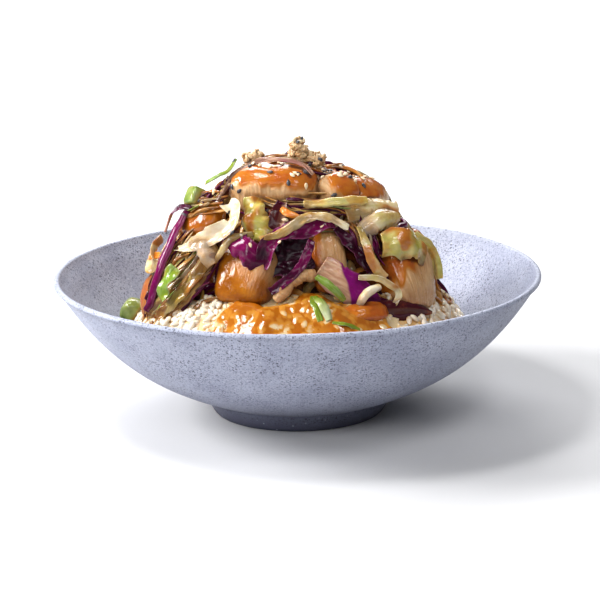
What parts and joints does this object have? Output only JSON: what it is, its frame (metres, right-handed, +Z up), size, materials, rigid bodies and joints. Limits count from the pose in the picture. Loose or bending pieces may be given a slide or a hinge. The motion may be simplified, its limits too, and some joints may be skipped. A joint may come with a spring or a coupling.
{
  "type": "bowl of chicken teriyaki donburi",
  "caption": "Wide stoneware bowl on a foot ring, filled with rice and a tall heap of glazed chicken, shredded cabbage, spring onion, crumbs and sesame.",
  "frame": {"origin": "centre of the foot ring's underside, where the bowl stands", "axes": "+Z up, out of the bowl; -Y towards the diner, the side that the picture shows; +X to the diner's right"},
  "size_m": [0.24, 0.24, 0.1392],
  "materials": {
    "stoneware": "matte speckled pale grey stoneware",
    "cooked_rice": "moist white rice grains, sauced at the front",
    "stir_fry": "glossy sauced shreds",
    "glazed_chicken": "glossy brown glaze over pale fibrous meat",
    "red_cabbage": "wet purple leaf with pale ribs",
    "pale_cabbage": "wet cream and pale green leaf",
    "green_onion": "wet bright green leaf",
    "carrot": "wet orange shred",
    "crisp_crumbs": "dry golden crumbs"
  },
  "bodies": {
    "root": {"bowl": "stoneware", "carrot_shred_left": "carrot", "carrot_shred_middle": "carrot", "chicken_back_high": "glazed_chicken", "chicken_back_left": "glazed_chicken", "chicken_back_right": "glazed_chicken", "chicken_centre": "glazed_chicken", "chicken_fold_right": "glazed_chicken", "chicken_front_left": "glazed_chicken", "chicken_lower_left": "glazed_chicken", "chicken_right": "glazed_chicken", "chicken_strip_front": "glazed_chicken", "chicken_top_right": "glazed_chicken", "chicken_top_slice": "glazed_chicken", "chicken_under_sauce": "glazed_chicken", "chicken_upper_left": "glazed_chicken", "crisp_crumb_left": "crisp_crumbs", "crisp_crumb_peak": "crisp_crumbs", "crisp_crumb_right": "crisp_crumbs", "green_leaf_left": "green_onion", "green_stem_dice": "green_onion", "green_stem_far_left": "green_onion", "pale_cabbage_back_leaf": "pale_cabbage", "pale_cabbage_back_shred": "pale_cabbage", "pale_cabbage_band": "pale_cabbage", "pale_cabbage_bundle_inner": "pale_cabbage", "pale_cabbage_bundle_outer": "pale_cabbage", "pale_cabbage_chunk_middle": "pale_cabbage", "pale_cabbage_curl_left": "pale_cabbage", "pale_cabbage_edge_right": "pale_cabbage", "pale_cabbage_fold_left": "pale_cabbage", "pale_cabbage_glazed_right": "pale_cabbage", "pale_cabbage_hook": "pale_cabbage", "pale_cabbage_leaf_left": "pale_cabbage", "pale_cabbage_on_chicken": "pale_cabbage", "pale_cabbage_shred_left": "pale_cabbage", "pale_cabbage_shred_long": "pale_cabbage", "pale_cabbage_shred_right": "pale_cabbage", "pale_cabbage_stub": "pale_cabbage", "pale_cabbage_wedge_right": "pale_cabbage", "red_cabbage_arc": "red_cabbage", "red_cabbage_back_leaf": "red_cabbage", "red_cabbage_back_stem": "red_cabbage", "red_cabbage_band": "red_cabbage", "red_cabbage_dark_right": "red_cabbage", "red_cabbage_diagonal": "red_cabbage", "red_cabbage_hollow": "red_cabbage", "red_cabbage_leaf_right": "red_cabbage", "red_cabbage_lobe": "red_cabbage", "red_cabbage_middle": "red_cabbage", "red_cabbage_rim_shred": "red_cabbage", "red_cabbage_stem": "red_cabbage", "red_cabbage_wedge": "red_cabbage", "rice": "cooked_rice", "spring_onion_low_dark": "green_onion", "spring_onion_low_light": "green_onion", "spring_onion_low_thin": "green_onion", "spring_onion_sprig": "green_onion", "spring_onion_strip_front": "green_onion", "vegetable_heap": "stir_fry"}
  },
  "joints": []
}
